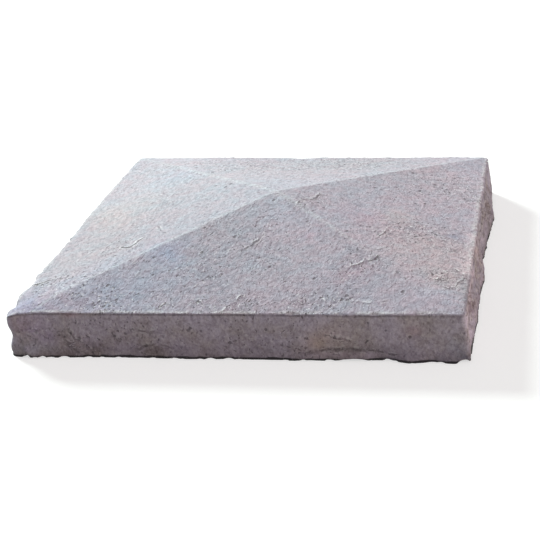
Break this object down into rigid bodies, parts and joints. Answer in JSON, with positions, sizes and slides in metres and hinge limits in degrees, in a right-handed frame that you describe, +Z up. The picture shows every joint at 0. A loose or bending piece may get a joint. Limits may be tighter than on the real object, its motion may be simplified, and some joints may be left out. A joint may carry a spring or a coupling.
{
  "type": "peaked capstone",
  "caption": "Square cast-stone pier cap with hewn sides, a flat bed and four shallow slopes rising to a low central peak.",
  "frame": {"origin": "middle of the flat bed that rests on the pier", "axes": "+Z up through the peak; X and Y square to the four sides, with -Y out of the front side"},
  "size_m": [0.6238, 0.622, 0.1185],
  "materials": {
    "cast_stone": "matt, fine sandy grain"
  },
  "bodies": {
    "root": {"capstone": "cast_stone"}
  },
  "joints": []
}
